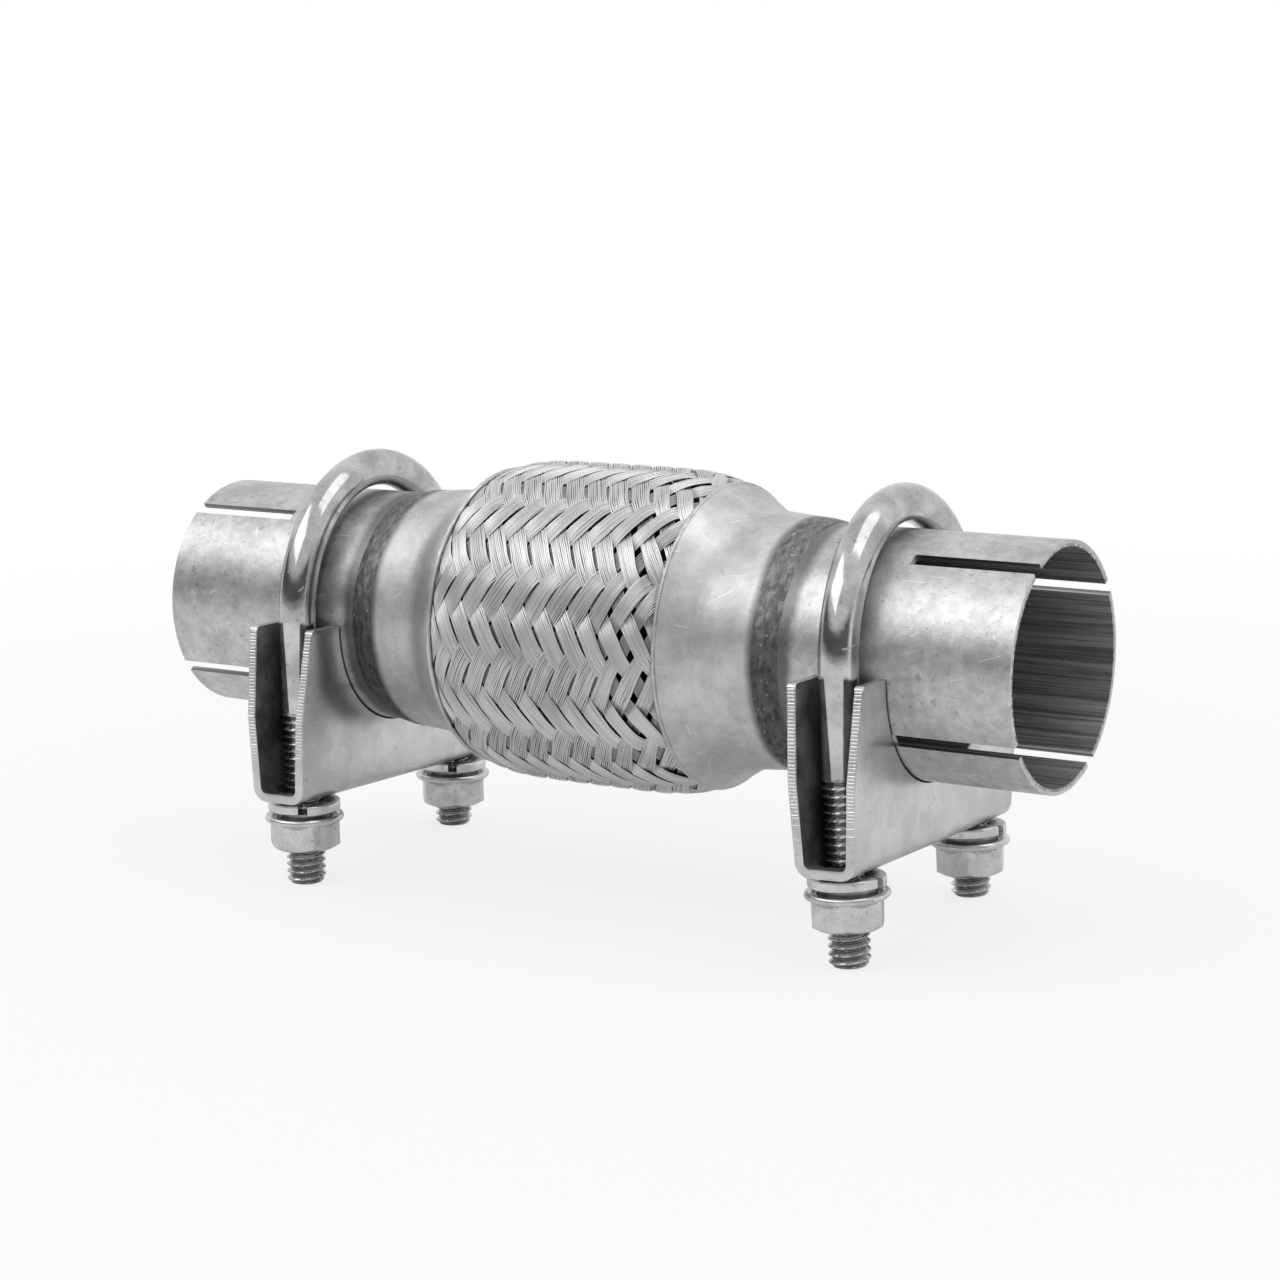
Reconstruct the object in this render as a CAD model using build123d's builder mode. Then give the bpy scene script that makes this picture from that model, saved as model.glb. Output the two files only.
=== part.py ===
from build123d import *
from math import copysign, cos, radians, sin, sqrt, tan
import os

os.makedirs("parts", exist_ok=True)

# Exhaust flex pipe with a slotted stub and a saddle clamp at each end.
# X runs along the pipe, Z is up, and z = 0 is where the four clamp legs stand.
# Each piece is drawn for the +X end, and side = -1 gives its twin at the other end.

# Whole pipe
overall_length = 194.0
axis_height = 54.2

# Slotted stubs
stub_outer_r = 23.8
stub_wall = 1.2
stub_overlap = 2.7
slot_count = 4
slot_width = 2.8
slot_length = 25.0
left_slot_turn = 34.3
right_slot_turn = 31.3

# Flexible body
braid_half = 26.0
braid_bellows_gap = 0.55
braid_drop = 3.0
braid_wall = 0.8
braid_rib = 0.35
bundles_each_way = 24
bundle_spacing = 5.0
bundle_gap = 0.45
braid_lip_gap = 0.3
braid_shoulder = 1.5
braid_turn = 2.75
weave_hole = 1.5
weave_hole_reach = 4

# End collars
collar_wall = 0.9
collar_fit = 0.05
shoulder_angle = 32.0
shoulder_round = 10.0
neck_length = 10.4
tail_length = 3.9
lip_round = 0.3
tail_thickness = 0.5
cuff_thickness = 0.3

# Bellows and inner sleeve
bellows_half = 26.5
bellows_folds = 9
fold_height = 3.6
fold_flat_share = 0.2
sleeve_wall = 0.6
sleeve_fit = 0.2
sleeve_end_gap = 0.3
sleeve_rib = 0.8
sleeve_rib_spacing = 7.0
sleeve_rib_width = 3.0
sleeve_ribs = 9

# Weld beads
weld_length = 5.3
weld_crown = 0.3

# Clamp bows
left_clamp_x = -61.5
right_clamp_x = 63.6
clamp_yaw = 2.3
left_clamp_tilt = 0.0
right_clamp_tilt = -2.2
bow_rod_r = 3.8
bow_side_gap = 0.3
bow_top_gap = 1.0
thread_r = 4.0
thread_length = 36.2
thread_tip = 0.9
thread_runout = 0.15

# Clamp saddles
saddle_sheet = 1.8
saddle_base_width = 11.9
saddle_splay = 2.9
saddle_corner_r = 3.0
saddle_drop = 13.65
saddle_seat_gap = 0.35
saddle_lean = 2.7
saddle_shift = 0.95
saddle_rise = 0.2
ear_top_drop = 2.0
ear_reach = 6.8
ear_tip_r = 1.2
kink_reach = 9.1
kink_depth = 20.2
base_reach = 8.0
mouth_spread = 1.6
mouth_depth = 8.0
leg_hole_length = 11.0

# Flange nuts and spring washers
nut_flats = 13.0
nut_height = 7.9
nut_chamfer = 1.0
flange_r = 8.1
flange_thickness = 1.7
nut_bore_fit = 0.05
left_near_nut_turn = 19.0
left_far_nut_turn = 8.0
right_near_nut_turn = 52.0
right_far_nut_turn = 50.0
washer_inner_r = 4.1
washer_outer_r = 7.4
washer_thickness = 2.0
washer_split = 14.0
washer_rise = 0.3
left_washer_turn = -50.0
right_washer_turn = 0.0

# Sizes that follow
half_length = overall_length / 2
stub_inner_r = stub_outer_r - stub_wall
neck_inner_r = stub_outer_r + cuff_thickness + tail_thickness
neck_outer_r = neck_inner_r + collar_wall
bellows_crest_r = stub_outer_r + cuff_thickness + fold_height
braid_middle_r = bellows_crest_r + braid_bellows_gap + braid_wall + braid_drop
lip_outer_r = braid_middle_r - braid_drop + braid_rib + collar_fit + collar_wall
leg_y = stub_outer_r + bow_side_gap + bow_rod_r
seat_r = stub_outer_r + saddle_seat_gap
saddle_depth = seat_r + saddle_drop
pipe_axis = Axis((0, 0, axis_height), (1, 0, 0))
pipe_plane = Plane(origin=(0, 0, axis_height), x_dir=(1, 0, 0), z_dir=(0, -1, 0))

# The collar's shoulder is a cone from the lip down to the neck, and every layer under it is parallel to it
shoulder_slope = tan(radians(shoulder_angle))
neck_start = braid_half + (lip_outer_r - neck_outer_r) / shoulder_slope
neck_end = neck_start + neck_length
tail_end = neck_start + tail_length
stub_start = tail_end - stub_overlap


def shoulder_height(x, inset):
    return lip_outer_r - (x - braid_half) * shoulder_slope - inset / cos(radians(shoulder_angle))


def shoulder_reach(r, inset):
    return braid_half + (shoulder_height(braid_half, inset) - r) / shoulder_slope


def save(part, name):
    part.label = name
    export_step(part, f"parts/{name}.step")


# Stub: a plain tube sawn in from its open end, so that the clamp can squeeze it on a pipe
def make_stub(side, slot_turn, name):
    with BuildPart() as stub:
        with BuildSketch(Plane(origin=(side * stub_start, 0, axis_height), z_dir=(side, 0, 0))):
            Circle(stub_outer_r)
            Circle(stub_inner_r, mode=Mode.SUBTRACT)
        extrude(amount=half_length - stub_start)
        mouth = Plane(origin=(side * half_length, 0, axis_height), x_dir=(0, -1, 0), z_dir=(-side, 0, 0))
        with BuildSketch(mouth):
            with PolarLocations(stub_outer_r, slot_count, start_angle=side * (90 - slot_turn)):
                Rectangle(4 * stub_wall, slot_width)
        extrude(amount=slot_length, mode=Mode.SUBTRACT)
    save(stub.part, name)


make_stub(1, right_slot_turn, "right_stub")
make_stub(-1, left_slot_turn, "left_stub")


# Collar: a pressed cap whose shoulder holds the braid's end, with its neck drawn in and welded to the stub
def make_collar(side, name):
    with BuildPart() as collar:
        with BuildSketch(pipe_plane):
            lip = (braid_half, lip_outer_r)
            neck = (neck_start, neck_outer_r)
            edge = (neck_end, stub_outer_r + collar_wall)
            under_lip = (braid_half, shoulder_height(braid_half, collar_wall))
            under_neck = (shoulder_reach(neck_inner_r, collar_wall), neck_inner_r)
            under_edge = (neck_end, stub_outer_r)
            with BuildLine():
                FilletPolyline(lip, neck, edge, radius=shoulder_round)
                FilletPolyline(under_lip, under_neck, under_edge, radius=shoulder_round + collar_wall)
                Line(lip, under_lip)
                Line(edge, under_edge)
            make_face()
        revolve(axis=pipe_axis)
        fillet(collar.edges().group_by(Axis.X)[0].sort_by(SortBy.RADIUS)[-1], lip_round)
        if side < 0:
            mirror(about=Plane.YZ, mode=Mode.REPLACE)
    save(collar.part, name)


make_collar(1, "right_collar")
make_collar(-1, "left_collar")


# Weld bead: a low crowned fillet from the end of the neck down to the stub
def make_weld(side, name):
    with BuildPart() as weld:
        with BuildSketch(pipe_plane):
            with BuildLine():
                top = Vector(side * neck_end, stub_outer_r + collar_wall)
                toe = Vector(side * (neck_end + weld_length), stub_outer_r)
                middle = (top + toe) / 2 + Vector(0, weld_crown)
                ThreePointArc(top, middle, toe)
                Polyline(toe, (side * neck_end, stub_outer_r), top)
            make_face()
        revolve(axis=pipe_axis)
    save(weld.part, name)


make_weld(1, "right_weld")
make_weld(-1, "left_weld")


# Braid: one wall with a raised float for each stretch of bundle that lies on top.
# Floats stand in rows along the pipe, and neighbouring rows slant opposite ways, half a float apart.
lip_slope = 6 * braid_drop / braid_half


def barrel_r(x):
    share = min(abs(x) / braid_half, 1)
    return braid_middle_r - braid_drop * share**6 - lip_slope * (abs(x) - braid_half * share)


def on_barrel(x, turn):
    slope = -copysign(lip_slope * min(abs(x) / braid_half, 1) ** 5, x)
    out = Vector(0, -sin(radians(turn)), cos(radians(turn)))
    along = Vector(1, 0, 0) + out * slope
    origin = Vector(x, 0, axis_height) + out * barrel_r(x)
    return Plane(origin=origin, x_dir=along, z_dir=out - Vector(1, 0, 0) * slope)


row_angle = 360 / bundles_each_way
lip_x = braid_half - braid_lip_gap
rings = int(lip_x / bundle_spacing) + 1
layer_inset = collar_wall + collar_fit
inner_inset = layer_inset + tail_thickness
tail_inner_r = neck_inner_r - tail_thickness
shoulder_x = braid_half + braid_shoulder
hole_xs = [ring * bundle_spacing for ring in range(-weave_hole_reach, weave_hole_reach + 1)]

with BuildPart() as two_rows:
    for row, slant in enumerate((1, -1)):
        lead = slant * bundle_spacing / 2
        near = (bundle_spacing - bundle_gap) / 2
        for ring in range(-rings, rings):
            x = (ring + 0.25 + row / 2) * bundle_spacing
            row_width = 2 * barrel_r(x) * sin(radians(row_angle / 2)) - bundle_gap
            with BuildSketch(on_barrel(x, (row + 0.5) * row_angle)):
                with BuildLine():
                    Polyline(
                        (-near - lead, -row_width / 2),
                        (near - lead, -row_width / 2),
                        (near + lead, row_width / 2),
                        (-near + lead, row_width / 2),
                        close=True,
                    )
                make_face()
            extrude(amount=braid_rib, both=True)
    split(bisect_by=Plane.YZ.offset(lip_x), keep=Keep.BOTTOM)
    split(bisect_by=Plane.YZ.offset(-lip_x), keep=Keep.TOP)
    with BuildSketch(pipe_plane):
        with BuildLine():
            stations = [braid_half * share for share in (0, 0.35, 0.6, 0.8, 1)]
            barrel = Spline(*[(x, barrel_r(x)) for x in stations], tangents=[(1, 0), (1, -lip_slope)])
            on_shoulder = Line(barrel @ 1, (shoulder_x, shoulder_height(shoulder_x, layer_inset)))
            valley_r = neck_inner_r - collar_fit
            valley_x = shoulder_reach(valley_r, layer_inset)
            tail_outer_r = valley_r - (tail_end - valley_x) * (neck_inner_r - stub_outer_r) / neck_length
            bend_r = shoulder_round + layer_inset
            tip = (tail_end, tail_outer_r)
            FilletPolyline(on_shoulder @ 1, (valley_x, valley_r), tip, radius=bend_r)
            end = Line(tip, (tail_end, tail_inner_r))
            under_valley = (shoulder_reach(tail_inner_r, inner_inset), tail_inner_r)
            under_lip = (braid_half, barrel_r(braid_half) - braid_wall)
            Polyline(end @ 1, under_valley, under_lip)
            inside = [(x, barrel_r(x) - braid_wall) for x in reversed(stations)]
            under_barrel = Spline(*inside, tangents=[(-1, lip_slope), (-1, 0)])
            Line(under_barrel @ 1, barrel @ 0)
        make_face()
        mirror(about=Plane.YZ)
    revolve(axis=pipe_axis, revolution_arc=2 * row_angle)
    with BuildSketch(*[on_barrel(x, 1.25 * row_angle) for x in hole_xs]):
        Rectangle(weave_hole, weave_hole, rotation=45)
    extrude(amount=2 * braid_wall, both=True, mode=Mode.SUBTRACT)

with BuildPart() as outer_braid:
    turns = range(bundles_each_way // 2)
    add([two_rows.part.rotate(pipe_axis, braid_turn + 2 * row_angle * turn) for turn in turns])
save(outer_braid.part, "outer_braid")


# Bellows: the gas-tight folded tube under the braid, with plain cuffs that reach under the necks
def make_bellows():
    cuff_r = stub_outer_r + cuff_thickness
    pitch = 2 * bellows_half / bellows_folds
    half_flat = pitch * fold_flat_share / 2
    with BuildPart() as bellows:
        with BuildSketch(pipe_plane):
            outside = []
            for fold in range(bellows_folds):
                start = -bellows_half + fold * pitch
                crest = start + pitch / 2
                outside.append((start + half_flat, cuff_r))
                outside.append((crest - half_flat, bellows_crest_r))
                outside.append((crest + half_flat, bellows_crest_r))
                outside.append((start + pitch - half_flat, cuff_r))
            inside = [(x, r - cuff_thickness) for x, r in reversed(outside)]
            with BuildLine():
                Polyline(
                    (-tail_end, cuff_r),
                    *outside,
                    (tail_end, cuff_r),
                    (tail_end, cuff_r - cuff_thickness),
                    *inside,
                    (-tail_end, cuff_r - cuff_thickness),
                    close=True,
                )
            make_face()
        revolve(axis=pipe_axis)
    save(bellows.part, "bellows")


make_bellows()


# Inner sleeve: the ribbed lining that carries the gas past the bellows, from one stub to the other
def make_sleeve():
    outer_r = stub_outer_r - sleeve_fit
    length = 2 * (stub_start - sleeve_end_gap)
    with BuildPart() as sleeve:
        with BuildSketch(pipe_plane):
            with Locations((0, outer_r - sleeve_wall / 2)):
                Rectangle(length, sleeve_wall)
            with Locations((0, outer_r - sleeve_rib / 2)):
                with GridLocations(sleeve_rib_spacing, 1, sleeve_ribs, 1):
                    Rectangle(sleeve_rib_width, sleeve_rib)
        revolve(axis=pipe_axis)
    save(sleeve.part, "inner_sleeve")


make_sleeve()


# Each clamp has its own frame on the pipe's axis, turned and tilted as its nuts were tightened
left_clamp = Plane(Pos(left_clamp_x, 0, axis_height) * Rot(0, 0, clamp_yaw) * Rot(0, left_clamp_tilt, 0))
right_clamp = Plane(Pos(right_clamp_x, 0, axis_height) * Rot(0, 0, clamp_yaw) * Rot(0, right_clamp_tilt, 0))


# Bow: a round rod bent over the stub, with a rolled thread on both legs and its feet on the ground
def make_bow(clamp, name):
    foot_z = ((thread_r - thread_tip) * abs(clamp.x_dir.Z) - axis_height) / clamp.z_dir.Z
    thread_z = foot_z + thread_length
    arch_z = bow_top_gap - bow_side_gap
    upright = Axis(clamp.origin, clamp.z_dir)
    with BuildPart() as bow:
        with BuildLine(Plane(origin=clamp.origin, x_dir=clamp.y_dir, z_dir=clamp.x_dir)):
            near_leg = Line((-leg_y, thread_z), (-leg_y, arch_z))
            over = CenterArc((0, arch_z), leg_y, 180, -180)
            Line(over @ 1, (leg_y, thread_z))
        with BuildSketch(Plane(origin=near_leg @ 0, x_dir=clamp.x_dir, z_dir=clamp.z_dir)):
            Circle(bow_rod_r)
        sweep()
        with BuildSketch(clamp.offset(foot_z)):
            with Locations((0, -leg_y), (0, leg_y)):
                Circle(thread_r)
        extrude(amount=thread_length)
        chamfer(bow.edges().group_by(upright)[0], thread_tip)
        shoulders = bow.faces().filter_by(GeomType.PLANE).group_by(upright)[-1]
        chamfer(shoulders.edges().group_by(SortBy.RADIUS)[-1], thread_runout)
    save(bow.part, name)


# Saddle: a folded channel with both walls cut out around the stub, leaning a little on its nuts
def make_saddle(clamp, name):
    frame = Plane(clamp.location * Pos(0, saddle_shift, saddle_rise) * Rot(-saddle_lean, 0, 0))
    along = frame.y_dir
    with BuildPart() as saddle:
        with BuildSketch(Plane(origin=frame.origin, x_dir=frame.x_dir, z_dir=-along)):
            closed_top = 2 * saddle_sheet
            half_top = saddle_base_width / 2 + (saddle_depth + closed_top) * tan(radians(saddle_splay))
            with BuildLine():
                Polyline(
                    (-saddle_base_width / 2, -saddle_depth),
                    (saddle_base_width / 2, -saddle_depth),
                    (half_top, closed_top),
                    (-half_top, closed_top),
                    close=True,
                )
            make_face()
            corners = vertices().sort_by(Axis.Y)[:2]
            fillet(corners, saddle_corner_r)
            offset(amount=-saddle_sheet, mode=Mode.SUBTRACT)
        extrude(amount=leg_y + 2 * kink_reach, both=True)
        with BuildSketch(Plane(origin=frame.origin, x_dir=along, z_dir=frame.x_dir)):
            with BuildLine():
                Polyline(
                    (-leg_y - ear_reach, -ear_top_drop),
                    (-leg_y - kink_reach, -kink_depth),
                    (-leg_y - base_reach, -saddle_depth),
                    (leg_y + base_reach, -saddle_depth),
                    (leg_y + kink_reach, -kink_depth),
                    (leg_y + ear_reach, -ear_top_drop),
                    close=True,
                )
            make_face()
            fillet(vertices().group_by(Axis.Y)[-1], ear_tip_r)
            mouth_y = sqrt(seat_r**2 - mouth_depth**2) - saddle_shift
            with BuildLine():
                Polyline(
                    (-mouth_y, -mouth_depth),
                    (mouth_y, -mouth_depth),
                    (seat_r + mouth_spread, 0),
                    (-seat_r - mouth_spread, 0),
                    close=True,
                )
            make_face(mode=Mode.SUBTRACT)
        extrude(amount=saddle_base_width, both=True, mode=Mode.INTERSECT)
        with BuildSketch(Plane(origin=clamp.origin, x_dir=(0, 1, 0), z_dir=(1, 0, 0))):
            Circle(seat_r)
        extrude(amount=saddle_base_width, both=True, mode=Mode.SUBTRACT)
        with BuildSketch(frame.offset(-saddle_depth)):
            with Locations((0, -leg_y), (0, leg_y)):
                SlotOverall(leg_hole_length, saddle_base_width - 2 * saddle_sheet, rotation=90)
        extrude(amount=2 * saddle_sheet, both=True, mode=Mode.SUBTRACT)
    save(saddle.part, name)


# Washer: one open turn of flat wire, sprung apart at its split
def make_washer(seat, turn, name):
    coil_r = (washer_inner_r + washer_outer_r) / 2
    turn_share = 1 - washer_split / 360
    with BuildPart() as washer:
        with BuildLine():
            coil = Helix(pitch=washer_rise / turn_share, height=washer_rise, radius=coil_r)
        with BuildSketch(Plane(origin=coil @ 0, x_dir=(1, 0, 0), z_dir=coil % 0)):
            Rectangle(washer_outer_r - washer_inner_r, washer_thickness)
        sweep(is_frenet=True)
    save(washer.part.moved(seat * Pos(0, 0, washer_thickness / 2) * Rot(0, 0, turn)), name)


# Nut: a hexagon with a round-edged flange, its outer corners turned off
def make_nut(seat, turn, name):
    base = Plane(seat * Pos(0, 0, -nut_height))
    upright = Plane(origin=base.origin, x_dir=base.x_dir, z_dir=-base.y_dir)
    axis = Axis(base.origin, base.z_dir)
    corner_r = nut_flats / 2 / cos(radians(30))
    rim_r = flange_thickness / 2
    with BuildPart() as nut:
        with BuildSketch(base):
            RegularPolygon(nut_flats / 2, 6, major_radius=False, rotation=turn)
        extrude(amount=nut_height)
        with BuildSketch(upright):
            with BuildLine():
                Polyline(
                    (0, 0),
                    (corner_r - nut_chamfer, 0),
                    (corner_r, nut_chamfer / 2),
                    (corner_r, nut_height),
                    (0, nut_height),
                    close=True,
                )
            make_face()
        revolve(axis=axis, mode=Mode.INTERSECT)
        with BuildSketch(upright):
            with Locations((0, nut_height - flange_thickness)):
                Rectangle(flange_r - rim_r, flange_thickness, align=(Align.MIN, Align.MIN))
            with Locations((flange_r - rim_r, nut_height - rim_r)):
                Circle(rim_r)
        revolve(axis=axis)
        with BuildSketch(base):
            Circle(thread_r + nut_bore_fit)
        extrude(amount=nut_height, mode=Mode.SUBTRACT)
    save(nut.part, name)


# Fastener: a washer close under the leaning web and the nut under it, on one leg of a bow
def fit_fastener(clamp, y, washer_turn, nut_turn, place):
    lean = radians(saddle_lean)
    web_z = saddle_rise - (saddle_depth + (y - saddle_shift) * sin(lean)) / cos(lean)
    seat_z = web_z - washer_outer_r * tan(lean) - washer_rise - washer_thickness
    seat = clamp.location * Pos(0, y, seat_z)
    make_washer(seat, washer_turn, f"{place}_washer")
    make_nut(seat, nut_turn, f"{place}_nut")


make_bow(left_clamp, "left_bow")
make_saddle(left_clamp, "left_saddle")
fit_fastener(left_clamp, -leg_y, left_washer_turn, left_near_nut_turn, "left_near")
fit_fastener(left_clamp, leg_y, left_washer_turn, left_far_nut_turn, "left_far")

make_bow(right_clamp, "right_bow")
make_saddle(right_clamp, "right_saddle")
fit_fastener(right_clamp, -leg_y, right_washer_turn, right_near_nut_turn, "right_near")
fit_fastener(right_clamp, leg_y, right_washer_turn, right_far_nut_turn, "right_far")
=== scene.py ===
import math
from types import SimpleNamespace

import bmesh
import bpy
from mathutils import Matrix, Vector


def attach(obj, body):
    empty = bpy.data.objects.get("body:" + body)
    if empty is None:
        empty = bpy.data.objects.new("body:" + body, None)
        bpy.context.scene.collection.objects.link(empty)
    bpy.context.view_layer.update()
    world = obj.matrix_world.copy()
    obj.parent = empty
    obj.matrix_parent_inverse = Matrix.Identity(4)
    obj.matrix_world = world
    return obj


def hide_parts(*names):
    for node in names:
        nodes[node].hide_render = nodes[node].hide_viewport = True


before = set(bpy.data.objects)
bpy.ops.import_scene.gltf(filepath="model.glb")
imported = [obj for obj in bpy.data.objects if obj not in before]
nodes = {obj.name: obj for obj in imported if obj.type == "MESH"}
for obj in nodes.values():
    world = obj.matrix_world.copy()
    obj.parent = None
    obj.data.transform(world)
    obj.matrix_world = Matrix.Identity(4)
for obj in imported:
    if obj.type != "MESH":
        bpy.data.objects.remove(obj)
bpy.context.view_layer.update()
scene = bpy.context.scene
print("frame loaded:", len(nodes), "pieces")

mm = 0.001
pipeHeight = 54.2 * mm  # the pipe's axis above the floor
legReach = 27.9 * mm  # a bow's legs stand this far either side of the axis
sameSpot = 0.004 * mm  # corners of a CAD mesh closer than this are one
clampYaw = math.radians(2.3)
clampFits = {"left": {"x": -61.5 * mm, "tilt": 0.0}, "right": {"x": 63.6 * mm, "tilt": -2.2}}
outward = {"left": -1.0, "right": 1.0}  # which way along x each end points


def clampFrame(end):
    # z runs up a bow's legs from the pipe's axis, and y runs from the near leg to the far one
    fit = clampFits[end]
    turned = Matrix.Rotation(clampYaw, 4, "Z") @ Matrix.Rotation(math.radians(fit["tilt"]), 4, "Y")
    return Matrix.Translation((fit["x"], 0.0, pipeHeight)) @ turned


# what one node hands to the next, so that sums of numbers read as plain arithmetic
class Feed:
    def __init__(self, socket):
        self.socket = socket
        self.tree = socket.id_data

    def __add__(self, other):
        return calc("ADD", self, other)

    def __radd__(self, other):
        return calc("ADD", other, self)

    def __sub__(self, other):
        return calc("SUBTRACT", self, other)

    def __rsub__(self, other):
        return calc("SUBTRACT", other, self)

    def __mul__(self, other):
        return calc("MULTIPLY", self, other)

    def __rmul__(self, other):
        return calc("MULTIPLY", other, self)

    def __truediv__(self, other):
        return calc("DIVIDE", self, other)

    def __pow__(self, other):
        return calc("POWER", self, other)

    def __neg__(self):
        return calc("MULTIPLY", self, -1.0)

    def __abs__(self):
        return calc("ABSOLUTE", self)

    def __lt__(self, other):
        return calc("LESS_THAN", self, other)

    def __gt__(self, other):
        return calc("GREATER_THAN", self, other)


def plug(tree, value, target):
    if isinstance(value, Feed):
        tree.links.new(value.socket, target)
    else:
        target.default_value = value


def addNode(tree, kind, inputs, **settings):
    node = tree.nodes.new(kind)
    for name, value in settings.items():
        setattr(node, name, value)
    for name, value in inputs.items():
        plug(tree, value, node.inputs[name])
    return node


def get(tree, kind, inputs, output=0, **settings):
    return Feed(addNode(tree, kind, inputs, **settings).outputs[output])


def calc(operation, *terms, clamp=False):
    tree = next(term.tree for term in terms if isinstance(term, Feed))
    return get(tree, "ShaderNodeMath", dict(enumerate(terms)), operation=operation, use_clamp=clamp)


def sine(angle):
    return calc("SINE", angle)


def cosine(angle):
    return calc("COSINE", angle)


def least(first, second):
    return calc("MINIMUM", first, second)


def most(first, second):
    return calc("MAXIMUM", first, second)


def remap(value, low, high):
    # climbs softly from 0 at low to 1 at high
    return get(value.tree, "ShaderNodeMapRange", {0: value, 1: low, 2: high}, interpolation_type="SMOOTHSTEP")


def combine(tree, x=0.0, y=0.0, z=0.0):
    return get(tree, "ShaderNodeCombineXYZ", {0: x, 1: y, 2: z})


def separate(vector):
    return [Feed(socket) for socket in addNode(vector.tree, "ShaderNodeSeparateXYZ", {0: vector}).outputs]


def vectorMaths(operation, first, inputs, output=0):
    return get(first.tree, "ShaderNodeVectorMath", {0: first, **inputs}, output, operation=operation)


def noise(place, scale, detail, roughness=0.5):
    return get(place.tree, "ShaderNodeTexNoise", {
        "Vector": place, "Scale": scale, "Detail": detail, "Roughness": roughness})


def socketName(key):
    # middleRadius is shown as Middle Radius
    return "".join(" " + letter if letter.isupper() else letter for letter in key).title()


def newGroup(name, kind, inputs, outputs):
    # an input's starting value tells its kind, and one without a value gives the kind itself
    kinds = {int: "NodeSocketInt", float: "NodeSocketFloat", tuple: "NodeSocketVector"}
    group = bpy.data.node_groups.new(name, kind)
    for key, value in inputs.items():
        bare = isinstance(value, str)
        socket = group.interface.new_socket(
            socketName(key), in_out="INPUT", socket_type=value if bare else kinds[type(value)])
        if not bare:
            socket.default_value = value
    for label, socketType in outputs.items():
        group.interface.new_socket(label, in_out="OUTPUT", socket_type=socketType)
    start = group.nodes.new("NodeGroupInput").outputs
    end = group.nodes.new("NodeGroupOutput").inputs
    return group, SimpleNamespace(**{key: Feed(start[socketName(key)]) for key in inputs}), end


def useGroup(tree, group, **inputs):
    node = addNode(tree, "ShaderNodeGroup", {}, node_tree=group)
    for key, value in inputs.items():
        plug(tree, value, node.inputs[socketName(key)])
    return {socket.name: Feed(socket) for socket in node.outputs}


# surface effects that several finishes share
sheetSkin = {
    "clouds": (6.0, 0.62), "specks": 3.0, "darkSpecks": (0.37, 0.29), "brightSpecks": (0.66, 0.74),
    "gritFiner": 2.4, "grit": (4.0, 0.7)}
scratchShape = {"turns": (6.0, 6.0, 6.0), "taper": (0.34, 0.22), "rarity": 0.74}


def makeHandledSheet():
    # soft clouds, fine dark and bright specks, and the grit of handled sheet metal
    group, given, out = newGroup(
        "handledSheet", "ShaderNodeTree", {"vector": "NodeSocketVector", "cloudScale": 60.0, "speckScale": 900.0},
        dict.fromkeys(("Clouds", "Dark Specks", "Bright Specks", "Grit"), "NodeSocketFloat"))
    place, fine = given.vector, given.speckScale
    specks = noise(place, fine, sheetSkin["specks"])
    plug(group, noise(place, given.cloudScale, *sheetSkin["clouds"]), out["Clouds"])
    plug(group, remap(specks, *sheetSkin["darkSpecks"]), out["Dark Specks"])
    plug(group, remap(specks, *sheetSkin["brightSpecks"]), out["Bright Specks"])
    plug(group, noise(place, fine * sheetSkin["gritFiner"], *sheetSkin["grit"]), out["Grit"])
    return group


def makeHairScratches():
    # short hairline scratches that lie at all angles, in about one patch of four
    group, given, out = newGroup(
        "hairScratches", "ShaderNodeTree", {"vector": "NodeSocketVector", "scale": 120.0, "width": 0.03},
        {"Scratches": "NodeSocketFloat"})
    cells = addNode(group, "ShaderNodeTexVoronoi", {"Vector": given.vector, "Scale": given.scale}).outputs
    chance = Feed(cells["Color"])
    turn = vectorMaths("MULTIPLY", chance, {1: scratchShape["turns"]})
    local = vectorMaths("SUBTRACT", given.vector, {1: Feed(cells["Position"])})
    spun = get(group, "ShaderNodeVectorRotate", {"Vector": local, "Rotation": turn}, rotation_type="EULER_XYZ")
    across, along, away = separate(spun)
    thin = abs(across * given.scale) < given.width
    short = remap(abs(along * given.scale), *scratchShape["taper"])
    picked = get(group, "ShaderNodeSeparateColor", {0: chance}, output=2) > scratchShape["rarity"]
    plug(group, thin * short * picked, out["Scratches"])
    return group


def makePlaceOnPipe():
    # a point's distance from the pipe's axis and from its middle, and its place seen from that middle
    group, given, out = newGroup(
        "placeOnPipe", "ShaderNodeTree", {"vector": "NodeSocketVector", "axisHeight": pipeHeight},
        {"Radius": "NodeSocketFloat", "Reach": "NodeSocketFloat", "Centred": "NodeSocketVector"})
    x, y, z = separate(given.vector)
    up = z - given.axisHeight
    plug(group, calc("SQRT", y * y + up * up), out["Radius"])
    plug(group, abs(x), out["Reach"])
    plug(group, combine(group, x, y, up), out["Centred"])
    return group


handledSheet = makeHandledSheet()
hairScratches = makeHairScratches()
placeOnPipe = makePlaceOnPipe()


def newMetal(name, finish):
    # a metal with the shared skin, and with scratches where its settings name their scale and width
    material = bpy.data.materials.new(name)
    material.use_nodes = True
    place = get(material.node_tree, "ShaderNodeTexCoord", {}, "Object")
    clouds, specks = finish["clouds"], finish["specks"]
    skin = useGroup(place.tree, handledSheet, vector=place, cloudScale=clouds, speckScale=specks)
    if "scratches" in finish:
        scale, width = finish["scratches"]
        skin |= useGroup(place.tree, hairScratches, vector=place, scale=scale, width=width)
    return material, place, skin


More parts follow.
